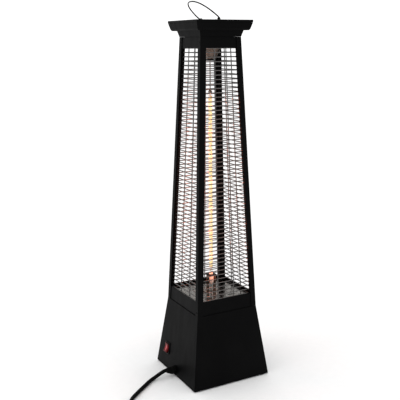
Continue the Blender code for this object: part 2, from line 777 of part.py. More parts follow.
def make_wiring():
    deck = FOOT_RISE + 0.0021 + SHEET / 2
    block_size = (0.0400, 0.0180, 0.0160)
    block = at(0.0320, 0.0300, deck + GAP + block_size[2] / 2)
    box("terminal_block", block_size, block, PLASTIC, bevel=0.0010)
    sensor_size = (0.0280, 0.0160, 0.0260)
    sensor = at(0.0320, -0.0360, deck + GAP + sensor_size[2] / 2)
    box("tilt_switch", sensor_size, sensor, PLASTIC, bevel=0.0010)

    wall = left_wall(GLAND_Y, GLAND_Z)
    inlet = [wall @ Vector((0, 0, depth)) for depth in (-0.0098, -0.0200)]
    mains = [*inlet, (-0.050, 0.014, 0.0125), (-0.010, 0.026, 0.0130)]
    tube("mains_wire", [*mains, (0.0117, 0.0270, 0.0130)], 0.0030, SLEEVE)
    back = 0.0010 - SWITCH_BODY[2] - GAP
    outlet = [left_wall(SWITCH_Y, SWITCH_Z) @ Vector((0, 0, depth)) for depth in (back, back - 0.0080)]
    switched = [*outlet, (-0.050, 0.052, 0.034), (-0.010, 0.036, 0.0175)]
    tube("switch_wire", [*switched, (0.0117, 0.0350, 0.0170)], 0.0016, SLEEVE)
    block_top = deck + 2 * GAP + block_size[2]
    socket_foot = LOWER_HOLDER_Z - 0.0210 - GAP
    feed = [(0, 0, socket_foot), (0, 0, 0.1500), (0.006, 0.006, 0.100), (0.024, 0.026, 0.050)]
    tube("feed_wire", [*feed, (0.0250, 0.0300, block_top)], 0.0016, SLEEVE)

    def in_corner(z):
        place_in = 0.0047 - tower_half(z)
        return (place_in, place_in, z)

    route = [(0, 0, 0.8328), (0, 0, 0.8520), (-0.006, -0.006, 0.8565), (-0.040, -0.040, 0.8565)]
    route += [in_corner(0.8490), in_corner(0.8400), in_corner(0.1830), (-0.076, -0.076, 0.170)]
    route += [(-0.070, -0.070, 0.050), (-0.040, -0.055, 0.0135), (0.005, -0.015, 0.0125)]
    route += [(0.040, -0.005, 0.0135), (0.040, 0.0207, 0.0145)]
    tube("return_wire", route, 0.0016, SLEEVE)


make_base()
make_tower()
make_reflectors()
make_lamp()
make_cap()
make_handle()
make_switch()
make_gland()
make_lead()
make_plug()
make_wiring()
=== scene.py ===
"""Looks for the outdoor heater: camera, lead, visible pieces, procedural materials, lamp glow and studio."""

import json
import math
import random

import bmesh
import bpy
from mathutils import Matrix, Vector

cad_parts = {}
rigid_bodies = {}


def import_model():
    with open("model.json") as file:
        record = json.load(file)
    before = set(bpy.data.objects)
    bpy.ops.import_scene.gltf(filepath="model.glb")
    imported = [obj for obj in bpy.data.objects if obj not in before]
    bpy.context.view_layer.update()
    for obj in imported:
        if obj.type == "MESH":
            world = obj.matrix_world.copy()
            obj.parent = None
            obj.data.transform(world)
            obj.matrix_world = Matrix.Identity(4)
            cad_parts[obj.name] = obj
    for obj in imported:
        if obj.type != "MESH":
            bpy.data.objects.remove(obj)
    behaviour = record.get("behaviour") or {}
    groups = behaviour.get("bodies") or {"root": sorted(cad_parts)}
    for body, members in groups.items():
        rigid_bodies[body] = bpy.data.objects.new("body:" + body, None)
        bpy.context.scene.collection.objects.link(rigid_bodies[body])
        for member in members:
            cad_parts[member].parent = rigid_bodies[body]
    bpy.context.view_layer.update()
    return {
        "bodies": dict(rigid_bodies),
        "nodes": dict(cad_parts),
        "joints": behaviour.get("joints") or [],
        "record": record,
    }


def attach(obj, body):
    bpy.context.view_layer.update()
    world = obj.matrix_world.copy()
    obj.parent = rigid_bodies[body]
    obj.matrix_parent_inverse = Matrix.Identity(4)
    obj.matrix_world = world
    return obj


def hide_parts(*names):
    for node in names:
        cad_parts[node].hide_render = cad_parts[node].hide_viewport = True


for thing in list(bpy.data.objects):
    bpy.data.objects.remove(thing, do_unlink=True)
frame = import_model()
NODES = frame["nodes"]
DICE = random.Random(7)
TAU = 2 * math.pi

# ---- Sizes shared with the CAD part, in metres ----
FOOT_RISE, BASE_HALF = 0.003, 0.110
SHOULDER_Z, SHOULDER_HALF = 0.187, 0.0855
TOWER_TOP_Z, TOWER_TOP_HALF = 0.866, 0.0556
SHEET, GAP = 0.0012, 0.0003
WIRE, EDGE_BAR = 0.0025, (0.0015, 0.0068)
WIRE_PITCH, WIRE_COUNT, FIRST_WIRE_Z = 0.010445, 62, 0.2131
GRILLE_INSET, GRILLE_CLEAR, UPRIGHT_SHARE = 2 * (SHEET + GAP) + 0.0003, 0.0115, 0.275
BAR_FRONT, BAR_OVERHANG, WIRE_WOBBLE = 0.0014, 0.0019, (0.00012, 0.00010)
TUBE_RADIUS, TUBE_Z, GLOW_Z = 0.0060, (0.2650, 0.7320), (0.2800, 0.7240)
CAP_TOP_Z = 0.9045
BAIL_AXIS_Z, BAIL_WIRE, BAIL_HALF_SPAN, BAIL_HEIGHT = CAP_TOP_Z + 0.0035, 0.0015, 0.0500, 0.0640
BAIL_LEAN, BAIL_ROUNDNESS = math.radians(51.8), 2.3
SWITCH_Y, SWITCH_Z, ROCKER_TILT = 0.0560, 0.0560, math.radians(9)
GLAND_Y, GLAND_Z, GLAND_LENGTH = 0.0040, 0.0155, 0.0240
LEAD_RADIUS = 0.00475
LEAD_FLOOR = LEAD_RADIUS + 0.0001
COIL_CENTRE = Vector((-0.2418, -0.2022, 0))
PLUG_Z = 0.0188
PLUG_CORD_END = Vector((-0.1580, -0.2592, PLUG_Z))
TOWER_SLOPE = math.atan2(SHOULDER_HALF - TOWER_TOP_HALF, TOWER_TOP_Z - SHOULDER_Z)
BASE_SLOPE = math.atan2(BASE_HALF - SHOULDER_HALF, SHOULDER_Z - FOOT_RISE)
SIDES = ("front", "right", "rear", "left")


def lerp(a, b, t):
    return a + (b - a) * t


def base_half(z):
    return lerp(BASE_HALF, SHOULDER_HALF, (z - FOOT_RISE) / (SHOULDER_Z - FOOT_RISE))


def tower_half(z):
    return lerp(SHOULDER_HALF, TOWER_TOP_HALF, (z - SHOULDER_Z) / (TOWER_TOP_Z - SHOULDER_Z))


def at(x, y, z):
    return Matrix.Translation((x, y, z))


def side_frame(side, foot_half, foot_z, slope, inset=0.0):
    """Axes on a sloping side: X along it, Y up it and Z straight out of it."""
    up = Vector((0, math.sin(slope), math.cos(slope)))
    out = Vector((0, -math.cos(slope), math.sin(slope)))
    axes = Matrix((Vector((1, 0, 0)), up, out)).transposed().to_4x4()
    axes.translation = Vector((0, -foot_half, foot_z)) - out * inset
    return Matrix.Rotation(side * math.pi / 2, 4, "Z") @ axes


def left_wall(y, z):
    axes = side_frame(3, base_half(z), z, BASE_SLOPE)
    axes.translation.y = y
    return axes


# ---- Camera ----
def make_camera():
    yaw, pitch, roll = math.radians(61.527), math.radians(-12.667), math.radians(-0.4716)
    ahead = Vector((math.cos(yaw) * math.cos(pitch), math.sin(yaw) * math.cos(pitch), math.sin(pitch)))
    level = ahead.cross(Vector((0, 0, 1))).normalized()
    upright = level.cross(ahead)
    right = math.cos(roll) * level + math.sin(roll) * upright
    up = -math.sin(roll) * level + math.cos(roll) * upright
    camera = bpy.data.objects.new("camera", bpy.data.cameras.new("camera"))
    bpy.context.scene.collection.objects.link(camera)
    camera.data.sensor_width = 36
    camera.data.lens = 63.018
    camera.data.clip_end = 200
    camera.matrix_world = Matrix((right, up, -ahead)).transposed().to_4x4()
    camera.location = (-0.8557, -1.5206, 0.8525)
    bpy.context.scene.camera = camera


# ---- Materials ----
class Look:
    """A material on one Principled shader, with helpers for its procedural detail."""

    def __init__(self, name, **sockets):
        self.material = bpy.data.materials.new(name)
        self.material.use_nodes = True
        self.tree = self.material.node_tree
        self.shader = self.tree.nodes["Principled BSDF"]
        for key, value in sockets.items():
            self.set(key, value)
        self.spot = self.node("ShaderNodeTexCoord").outputs["Object"]
        self.normal = None

    def set(self, key, value):
        socket = self.shader.inputs[key.replace("_", " ")]
        if isinstance(value, bpy.types.NodeSocket):
            self.tree.links.new(value, socket)
        else:
            socket.default_value = (*value, 1) if isinstance(value, tuple) and len(value) == 3 else value

    def node(self, kind, **settings):
        made = self.tree.nodes.new(kind)
        for key, value in settings.items():
            setattr(made, key, value)
        return made

    def feed(self, socket, value):
        if isinstance(value, bpy.types.NodeSocket):
            self.tree.links.new(value, socket)
        else:
            socket.default_value = value

    def noise(self, scale, detail=2.0, roughness=0.5, stretch=None):
        spot = self.spot
        if stretch:
            mapping = self.node("ShaderNodeMapping")
            mapping.inputs["Scale"].default_value = stretch
            self.feed(mapping.inputs["Vector"], spot)
            spot = mapping.outputs["Vector"]
        made = self.node("ShaderNodeTexNoise")
        self.feed(made.inputs["Vector"], spot)
        made.inputs["Scale"].default_value = scale
        made.inputs["Detail"].default_value = detail
        made.inputs["Roughness"].default_value = roughness
        return made.outputs["Fac"]

    def cells(self, scale, output="Color"):
        made = self.node("ShaderNodeTexVoronoi")
        self.feed(made.inputs["Vector"], self.spot)
        made.inputs["Scale"].default_value = scale
        return made.outputs[output]

    def part(self, vector, axis):
        made = self.node("ShaderNodeSeparateXYZ")
        self.feed(made.inputs[0], vector)
        return made.outputs[axis]

    def math(self, operation, a, b=0.0, c=0.0):
        made = self.node("ShaderNodeMath", operation=operation)
        for socket, value in zip(made.inputs, (a, b, c)):
            self.feed(socket, value)
        return made.outputs[0]

    def spread(self, value, low, high, start=0.35, end=0.65):
        made = self.node("ShaderNodeMapRange", interpolation_type="SMOOTHSTEP")
        for socket, item in zip(made.inputs, (value, start, end, low, high)):
            self.feed(socket, item)
        return made.outputs[0]

    def mix(self, amount, a, b):
        made = self.node("ShaderNodeMix", data_type="RGBA")
        self.feed(made.inputs["Factor"], amount)
        for name, value in (("A", a), ("B", b)):
            socket = [s for s in made.inputs if s.name == name and s.type == "RGBA"][0]
            self.feed(socket, (*value, 1) if isinstance(value, tuple) else value)
        return [s for s in made.outputs if s.type == "RGBA"][0]

    def bump(self, height, distance, strength=1.0):
        made = self.node("ShaderNodeBump")
        made.inputs["Strength"].default_value = strength
        made.inputs["Distance"].default_value = distance
        self.feed(made.inputs["Height"], height)
        if self.normal:
            self.feed(made.inputs["Normal"], self.normal)
        self.normal = made.outputs["Normal"]
        self.set("Normal", self.normal)


def black_paint():
    look = Look("black_powder_coat", Specular_IOR_Level=0.07)
    broad = look.noise(9, 4, 0.6)
    grain = look.noise(1900, 2, 0.5)
    shade = look.mix(look.spread(broad, 0, 1), (0.0024, 0.0024, 0.0026), (0.0038, 0.0038, 0.0040))
    look.set("Base_Color", shade)
    streaks = look.noise(60, 3, 0.6, stretch=(1, 1, 0.12))
    look.set("Roughness", look.math("ADD", look.spread(streaks, 0.37, 0.44), look.spread(grain, 0.0, 0.07)))
    look.bump(grain, 0.00003, 0.9)
    look.bump(look.noise(330, 1, 0.4), 0.00006, 0.5)
    return look.material


def stainless(name, tint_reach):
    look = Look(name, Metallic=1.0)
    x, y = look.part(look.spot, 0), look.part(look.spot, 1)
    away = look.math("SQRT", look.math("ADD", look.math("MULTIPLY", x, x), look.math("MULTIPLY", y, y)))
    brushed = look.noise(900, 3, 0.6, stretch=(0.03, 1, 1))
    plain = look.mix(look.spread(brushed, 0, 1, 0.3, 0.7), (0.17, 0.163, 0.150), (0.27, 0.258, 0.240))
    # A warm copper tint, strongest near the lamp's axis and fading out by tint_reach from it.
    tint_distance = look.math("ADD", away, look.spread(look.noise(55, 3, 0.6), -0.006, 0.006))
    tint = look.spread(tint_distance, 0.55, 0.0, 0.004, tint_reach)
    look.set("Base_Color", look.mix(tint, plain, (0.26, 0.135, 0.085)))
    look.set("Roughness", look.spread(look.noise(70, 4, 0.65), 0.16, 0.30))
    look.bump(brushed, 0.000012, 0.8)
    return look.material


def bright_wire():
    look = Look("bright_wire", Metallic=1.0)
    # Painted glow: the wires are tinted warm red towards the tower's middle, where the lamp's light falls on
    # them.
    z = look.part(look.spot, 2)
    middle = look.math("ABSOLUTE", look.math("SUBTRACT", z, 0.50))
    reach = look.math("ADD", middle, look.spread(look.noise(35, 3), -0.05, 0.05))
    lamp_glow = look.spread(reach, 0.5, 0.0, 0.05, 0.30)
    look.set("Base_Color", look.mix(lamp_glow, (0.150, 0.147, 0.145), (0.17, 0.115, 0.095)))
    look.set("Roughness", look.spread(look.noise(260, 3, 0.6), 0.30, 0.44))
    look.bump(look.noise(1500, 2, 0.5, stretch=(1, 1, 4)), 0.00001, 0.6)
    return look.material


def bail_wire_look():
    look = Look("bail_wire", Metallic=1.0)
    broad = look.spread(look.noise(70, 3), 0, 1)
    look.set("Base_Color", look.mix(broad, (0.016, 0.016, 0.017), (0.032, 0.032, 0.034)))
    look.set("Roughness", look.spread(look.noise(260, 3, 0.6), 0.24, 0.36))
    look.bump(look.noise(1500, 2, 0.5), 0.00001, 0.6)
    return look.material


def zinc_plate():
    look = Look("zinc_plate", Metallic=1.0)
    spangle = look.cells(140)
    look.set("Base_Color", look.mix(look.part(spangle, 0), (0.36, 0.37, 0.38), (0.52, 0.53, 0.54)))
    look.set("Roughness", look.spread(look.part(spangle, 1), 0.26, 0.42, 0, 1))
    look.bump(look.noise(1200, 2), 0.00001, 0.6)
    return look.material


def rubber():
    look = Look("black_rubber", Specular_IOR_Level=0.12)
    broad = look.noise(30, 4, 0.6)
    shade = look.mix(look.spread(broad, 0, 1), (0.0030, 0.0030, 0.0031), (0.0050, 0.0049, 0.0048))
    look.set("Base_Color", shade)
    look.set("Roughness", look.spread(look.noise(90, 3, 0.6), 0.50, 0.68))
    look.bump(look.noise(2600, 2, 0.6), 0.00003, 0.7)
    return look.material


def plastic():
    look = Look("black_plastic", Specular_IOR_Level=0.16)
    broad = look.noise(25, 3, 0.6)
    look.set("Base_Color", look.mix(look.spread(broad, 0, 1), (0.003, 0.003, 0.0034), (0.005, 0.005, 0.0053)))
    look.set("Roughness", look.spread(look.noise(150, 3, 0.6), 0.36, 0.48))
    look.bump(look.cells(2400, "Distance"), 0.00002, 0.6)
    return look.material


def red_lens():
    look = Look("red_rocker", Coat_Weight=0.05, Coat_Roughness=0.15, Specular_IOR_Level=0.15)
    look.set("Emission_Strength", 1.0)
    z = look.part(look.spot, 2)
    from_middle = look.math("ABSOLUTE", look.math("SUBTRACT", z, SWITCH_Z + 0.001))
    core = look.spread(from_middle, 1.0, 0.0, 0.0, 0.0125)
    cloud = look.spread(look.noise(420, 2), 0.75, 1.0)
    y = look.part(look.spot, 1)
    # Painted highlight: a narrow bright pinkish streak down the rocker's centre. The red glow around it, from
    # the rocker's indicator lamp, is strongest across the middle.
    painted_highlight_streak = look.spread(look.math("ABSOLUTE", look.math("SUBTRACT", y, SWITCH_Y)), 1.0, 0.0, 0.0005, 0.0030)
    look.set("Base_Color", look.mix(core, (0.050, 0.002, 0.002), (0.12, 0.003, 0.003)))
    glow_and_painted_highlight = look.mix(painted_highlight_streak, (0.035, 0.001, 0.002), (0.62, 0.20, 0.22))
    look.set("Emission_Color", look.mix(look.math("MULTIPLY", core, cloud), (0.006, 0.0, 0.0), glow_and_painted_highlight))
    look.set("Roughness", look.spread(look.noise(200, 2), 0.14, 0.24))
    look.bump(look.noise(900, 1), 0.00001, 0.5)
    return look.material


def ceramic(name="ceramic", painted_glow_span=None):
    look = Look(name)
    specks = look.noise(700, 3, 0.7)
    speckled = look.spread(specks, 0, 1, 0.56, 0.66)
    look.set("Base_Color", look.mix(speckled, (0.62, 0.57, 0.50), (0.40, 0.35, 0.29)))
    look.set("Roughness", look.spread(look.noise(120, 3), 0.55, 0.75))
    look.bump(look.noise(1500, 3, 0.6), 0.00004, 0.7)
    if painted_glow_span:
        # Painted glow: the socket's upper part glows orange-red, standing in for the lamp's light falling on
        # it.
        z = look.part(look.spot, 2)
        height = look.math("ADD", z, look.spread(look.noise(160, 2), -0.001, 0.001))
        glow = look.spread(height, 0.0, 1.0, *painted_glow_span)
        look.set("Emission_Color", look.mix(glow, (0.10, 0.020, 0.008), (0.80, 0.26, 0.15)))
        look.set("Emission_Strength", 0.9)
    return look.material


def quartz():
    look = Look("quartz", Base_Color=(0.30, 0.29, 0.28), Alpha=0.06, IOR=1.46, Specular_IOR_Level=0.35)
    look.set("Roughness", look.spread(look.noise(80, 3), 0.02, 0.08))
    look.bump(look.noise(60, 1), 0.00002, 0.4)
    return look.material


def glowing():
    look = Look("glowing_element", Base_Color=(0.012, 0.010, 0.008), Roughness=0.7)
    z = look.part(look.spot, 2)
    low, high = GLOW_Z
    above, below = look.math("SUBTRACT", z, low - 0.012), look.math("SUBTRACT", high + 0.010, z)
    from_end = look.math("MINIMUM", above, below)
    weave = look.spread(look.noise(800, 2, 0.6), 0.82, 1.0)
    lamp_glow = look.spread(from_end, 0.0, 1.0, 0.0, 0.022)
    cool = look.mix(lamp_glow, (0.60, 0.13, 0.015), (1.0, 0.80, 0.42))
    look.set("Emission_Color", look.mix(look.math("MULTIPLY", lamp_glow, weave), (0.80, 0.42, 0.12), cool))
    look.set("Emission_Strength", look.spread(from_end, 0.5, 1.0, 0.0, 0.03))
    return look.material


def brass():
    look = Look("brass_pin", Metallic=1.0)
    broad = look.spread(look.noise(90, 3), 0, 1)
    look.set("Base_Color", look.mix(broad, (0.60, 0.44, 0.18), (0.74, 0.57, 0.28)))
    look.set("Roughness", look.spread(look.noise(300, 3), 0.18, 0.34))
    look.bump(look.noise(2000, 2, 0.5, stretch=(0.1, 1, 1)), 0.00001, 0.5)
    return look.material


def woven_sleeve():
    look = Look("woven_sleeve")
    strands = []
    for tilt in (0.7, -0.7):
        wave = look.node("ShaderNodeTexWave", bands_direction="DIAGONAL")
        mapping = look.node("ShaderNodeMapping")
        mapping.inputs["Rotation"].default_value = (tilt, 0.4 * tilt, tilt)
        look.feed(mapping.inputs["Vector"], look.spot)
        look.feed(wave.inputs["Vector"], mapping.outputs["Vector"])
        wave.inputs["Scale"].default_value = 320
        strands.append(wave.outputs["Fac"])
    weave = look.math("MULTIPLY", *strands)
    look.set("Base_Color", look.mix(weave, (0.30, 0.28, 0.24), (0.52, 0.49, 0.43)))
    look.set("Roughness", look.spread(weave, 0.85, 0.70, 0, 1))
    look.bump(weave, 0.0001, 0.7)
    return look.material


PAINT = black_paint()
STEEL_FLOOR = stainless("stainless_floor", 0.050)
STEEL_TOP = stainless("stainless_top", 0.045)
BRIGHT = bright_wire()
CHROME = bail_wire_look()
ZINC = zinc_plate()
RUBBER = rubber()
PLASTIC = plastic()
RED = red_lens()
CERAMIC = ceramic()
PAINTED_GLOW_CERAMIC = ceramic("painted_glow_ceramic", (0.2400, 0.2560))
QUARTZ = quartz()
GLOWING = glowing()
BRASS = brass()
SLEEVE = woven_sleeve()


# ---- Mesh helpers ----
class Shape:
    """Vertices and faces gathered for one mesh."""

    def __init__(self):
        self.points, self.faces = [], []

    def ring(self, points):
        start = len(self.points)
        self.points += [tuple(p) for p in points]
        return list(range(start, start + len(points)))

    def bridge(self, a, b):
        count = len(a)
        self.faces += [(a[i], a[(i + 1) % count], b[(i + 1) % count], b[i]) for i in range(count)]

    def cap(self, ring, flip=False):
        self.faces.append(tuple(reversed(ring)) if flip else tuple(ring))

    def loft(self, rings, closed=False):
        made = [self.ring(r) for r in rings]
        for a, b in zip(made, made[1:]):
            self.bridge(a, b)
        if closed:
            self.bridge(made[-1], made[0])
        else:
            self.cap(made[0], True)
            self.cap(made[-1])

    def tube(self, path, radius, sides=10, radii=None):
        """A round bar along a path, its ends rounded off by a small chamfer."""
        path = [Vector(p) for p in path]
        ahead = (path[1] - path[0]).normalized()
        side = ahead.orthogonal().normalized()
        rings = []
        for i, point in enumerate(path):
            before = path[max(0, i - 1)]
            after = path[min(len(path) - 1, i + 1)]
            turned = (after - before).normalized()
            side = (side - turned * side.dot(turned)).normalized()
            other = turned.cross(side)
            r = radii[i] if radii else radius
            rings.append([point + r * (math.cos(a) * side + math.sin(a) * other) for a in angles(sides)])
            ends = {0: -1, len(path) - 1: 1}
            if i in ends and not radii:
                tip = point + ends[i] * 0.3 * r * turned
                small = [tip + 0.7 * r * (math.cos(a) * side + math.sin(a) * other) for a in angles(sides)]
                rings.insert(0 if i == 0 else len(rings), small)
        self.loft(rings)

    def turn(self, profile, frame, steps=40):
        """Revolve (radius, height) points about the frame's Z; a radius of 0 closes the end."""
        inner = [p for p in profile if p[0] > 0]
        closed = profile[0][0] > 0
        rings = []
        for r, h in inner:
            rings.append([frame @ Vector((r * math.cos(a), r * math.sin(a), h)) for a in angles(steps)])
        self.loft(rings[::-1], closed)

    def blob(self, centre, axes, sizes, around=8):
        """A small flattened ball, for a weld or a rivet."""
        rings = []
        for k in range(1, 5):
            lift = math.cos(math.pi * k / 5)
            wide = math.sin(math.pi * k / 5)
            ring = []
            for a in angles(around):
                spot = Vector((wide * math.cos(a) * sizes[0], wide * math.sin(a) * sizes[1], lift * sizes[2]))
                ring.append(centre + axes @ spot)
            rings.append(ring)
        self.loft(rings[::-1])

    def piece(self, name, material, body="heater", slot=None, smooth=35):
        mesh = bpy.data.meshes.new(name)
        mesh.from_pydata(self.points, [], self.faces)
        mesh.validate()
        bm = bmesh.new()
        bm.from_mesh(mesh)
        bmesh.ops.recalc_face_normals(bm, faces=bm.faces)
        bm.to_mesh(mesh)
        bm.free()
        mesh.shade_smooth()
        mesh.set_sharp_from_angle(angle=math.radians(smooth))
        mesh.materials.append(material)
        item = bpy.data.objects.new(name, mesh)
        bpy.context.scene.collection.objects.link(item)
        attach(item, body)
        return item


def angles(count):
    return [TAU * i / count for i in range(count)]


def rounded(width, height, radius, z, steps=5):
    """Points round a rounded rectangle at a height."""
    ring = []
    for quarter, (i, j) in enumerate(((1, -1), (1, 1), (-1, 1), (-1, -1))):
        centre = (i * (width / 2 - radius), j * (height / 2 - radius))
        for step in range(steps + 1):
            a = (quarter - 1 + step / steps) * math.pi / 2
            ring.append(Vector((centre[0] + radius * math.cos(a), centre[1] + radius * math.sin(a), z)))
    return ring


def smooth_path(route, step):
    """Points about a step apart on a Catmull-Rom curve through the route."""
    route = [Vector(point) for point in route]
    padded = [2 * route[0] - route[1], *route, 2 * route[-1] - route[-2]]
    path = []
    for a, b, c, d in zip(padded, padded[1:], padded[2:], padded[3:]):
        count = max(1, round((c - b).length / step))
        for i in range(count):
            t = i / count
            bend = 2 * a - 5 * b + 4 * c - d
            twist = 3 * b - a - 3 * c + d
            path.append(0.5 * (2 * b + (c - a) * t + bend * t**2 + twist * t**3))
    return [*path, route[-1]]


# ---- Lead ----
LEAD_ROUTE = (
    (-0.1400, 0.0042, 0.0181),
    (-0.1495, 0.0041, 0.0146),
    (-0.1585, 0.0040, 0.0108),
    (-0.1673, 0.0032, 0.0073),
    (-0.1760, 0.0008, LEAD_FLOOR + 0.0004),
    (-0.1855, -0.0049, LEAD_FLOOR),
    (-0.1949, -0.0120, LEAD_FLOOR),
    (-0.2130, -0.0263, LEAD_FLOOR),
    (-0.2306, -0.0403, LEAD_FLOOR),
    (-0.2474, -0.0541, LEAD_FLOOR),
    (-0.2552, -0.0612, LEAD_FLOOR),
    (-0.2626, -0.0693, LEAD_FLOOR),
    (-0.2693, -0.0786, LEAD_FLOOR),
    (-0.2753, -0.0888, LEAD_FLOOR),
    (-0.2807, -0.0998, LEAD_FLOOR),
    (-0.2855, -0.1114, LEAD_FLOOR),
    (-0.2898, -0.1233, LEAD_FLOOR),
    (-0.2938, -0.1353, LEAD_FLOOR),
    (-0.2975, -0.1473, LEAD_FLOOR),
    (-0.3010, -0.1602, LEAD_FLOOR),
    (-0.3042, -0.1731, LEAD_FLOOR),
    (-0.3072, -0.1860, LEAD_FLOOR),
)
TAIL_ROUTE = (
    (-0.2055, -0.2592, 0.0142),
    (-0.1930, -0.2592, 0.0148),
    (-0.1800, -0.2592, 0.0164),
    (-0.1690, -0.2592, 0.0182),
)


def coil_path():
    """The spare lead: a spiral inwards on the floor, up a step, and a spiral outwards on top."""
    pitch, low, high = 0.00955, LEAD_FLOOR, LEAD_FLOOR + 0.0094
    entry, outer, inner = 0.0668, 0.0570, 0.0379
    start, step = 166.0, 12
    path = []
    turns_in = (outer - inner) / pitch
    settle, climb = 50.0, 115.0
    down_end = start + settle + 360 * turns_in
    up_end = down_end + climb
    finish = 270 + 360 * math.ceil((up_end + 360 * turns_in - 270) / 360)
    angle = start + 8
    while angle < finish - 4:
        if angle < start + settle:
            t = (angle - start) / settle
            radius = lerp(entry, outer, t * t * (3 - 2 * t))
            z = low
        elif angle < down_end:
            radius, z = outer - pitch * (angle - start - settle) / 360, low
        elif angle < up_end:
            t = (angle - down_end) / climb
            radius, z = inner, lerp(low, high, t * t * (3 - 2 * t))
        else:
            radius, z = min(outer, inner + pitch * (angle - up_end) / 360), high
        turn = math.radians(angle)
        path.append(COIL_CENTRE + Vector((radius * math.cos(turn), radius * math.sin(turn), z)))
        angle += step
    return path


def make_lead():
    wall = left_wall(GLAND_Y, GLAND_Z)
    start = wall @ Vector((0, 0, GLAND_LENGTH - 0.004))
    straight = wall @ Vector((0, 0, GLAND_LENGTH + 0.004))
    end = PLUG_CORD_END + Vector((0.004, 0, 0))
    first = smooth_path([start, straight, *LEAD_ROUTE], 0.006)
    last = smooth_path([*TAIL_ROUTE, end], 0.006)
    path = [*first, *coil_path(), *last]
    curve = bpy.data.curves.new("mains_lead", "CURVE")
    curve.dimensions = "3D"
    curve.bevel_depth = LEAD_RADIUS
    curve.bevel_resolution = 5
    curve.use_fill_caps = True
    spline = curve.splines.new("POLY")
    spline.points.add(len(path) - 1)
    for point, goal in zip(spline.points, path):
        point.co = (*goal, 1)
    spline.use_smooth = True
    curve.materials.append(RUBBER)
    lead = bpy.data.objects.new("mains_lead", curve)
    bpy.context.scene.collection.objects.link(lead)
    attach(lead, "heater")
    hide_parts("power_cord", "cord_coil", "cord_tail")

    gland = Shape()
    profile = [(0.0052, -0.0092), (0.0065, -0.0080), (0.0065, 0.0003), (0.0100, 0.0003), (0.0109, 0.0009)]
    profile += [(0.0112, 0.0016), (0.0112, 0.0030), (0.0108, 0.0038), (0.0104, 0.0043), (0.0106, 0.0055)]
    profile += [(0.0106, 0.0078), (0.0101, 0.0105)]
    top = 0.0118
    for ridge in range(5):
        wide = lerp(0.0096, 0.0066, ridge / 4)
        profile += [(wide - 0.0009, top), (wide - 0.0009, top + 0.0006), (wide, top + 0.0009)]
        profile += [(wide - 0.0002, top + 0.0021)]
        top += 0.0024
    profile += [(0.0058, GLAND_LENGTH - 0.0003), (0.0052, GLAND_LENGTH)]
    gland.turn([(0, -0.0092), *profile, (0, GLAND_LENGTH)], wall, 40)
    gland_piece = gland.piece("lead_gland", RUBBER, slot="black_rubber")
    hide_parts("cord_gland")

    along = Matrix(((0, 0, 1, 0), (0, 1, 0, 0), (-1, 0, 0, 0), (0, 0, 0, 1)))
    axes = at(*PLUG_CORD_END) @ along
    plug = Shape()
    profile = [(0.0058, 0.0002)]
    for ridge in range(5):
        spot, wide = 0.0012 + 0.0036 * ridge, lerp(0.0066, 0.0086, ridge / 4)
        profile += [(wide, spot), (wide + 0.0002, spot + 0.0022), (wide - 0.0009, spot + 0.0026)]
        profile += [(wide - 0.0009, spot + 0.0032)]
    profile += [(0.0096, 0.0210), (0.0112, 0.0262), (0.0140, 0.0300), (0.0165, 0.0340), (0.0176, 0.0385)]
    for groove in range(5):
        spot = 0.0400 + 0.0030 * groove
        profile += [(0.0181, spot), (0.0181, spot + 0.0016), (0.0175, spot + 0.0020), (0.0175, spot + 0.0026)]
    profile += [(0.0181, 0.0555), (0.0181, 0.0586), (0.0176, 0.0597), (0.0170, 0.0600), (0.0128, 0.0600)]
    profile += [(0.0126, 0.0594), (0.0120, 0.0594), (0.0118, 0.0600)]
    plug.turn([(0, 0.0002), *profile, (0, 0.0600)], axes, 56)
    plug_piece = plug.piece("mains_plug", RUBBER, slot="black_rubber")
    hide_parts("plug_body")

    tie = Shape()
    spot = COIL_CENTRE + Vector((0.0475 * math.cos(0.9), 0.0475 * math.sin(0.9), 0.0098))
    outward = Matrix.Rotation(0.9, 4, "Z") @ Matrix.Rotation(math.pi / 2, 4, "X")
    loops = []
    for z in (-0.0050, -0.0046, 0.0046, 0.0050):
        trim = 0.0002 if abs(z) > 0.0048 else 0.0
        loops.append((rounded(0.0304 - trim, 0.0194 - trim, 0.0050, z), rounded(0.0292, 0.0182, 0.0045, z)))
    rings = [outer for outer, _ in loops] + [inner for _, inner in reversed(loops)]
    tie.loft([[at(*spot) @ outward @ p for p in ring] for ring in rings], closed=True)
    tie_piece = tie.piece("coil_tie", PLASTIC, slot="black_plastic")


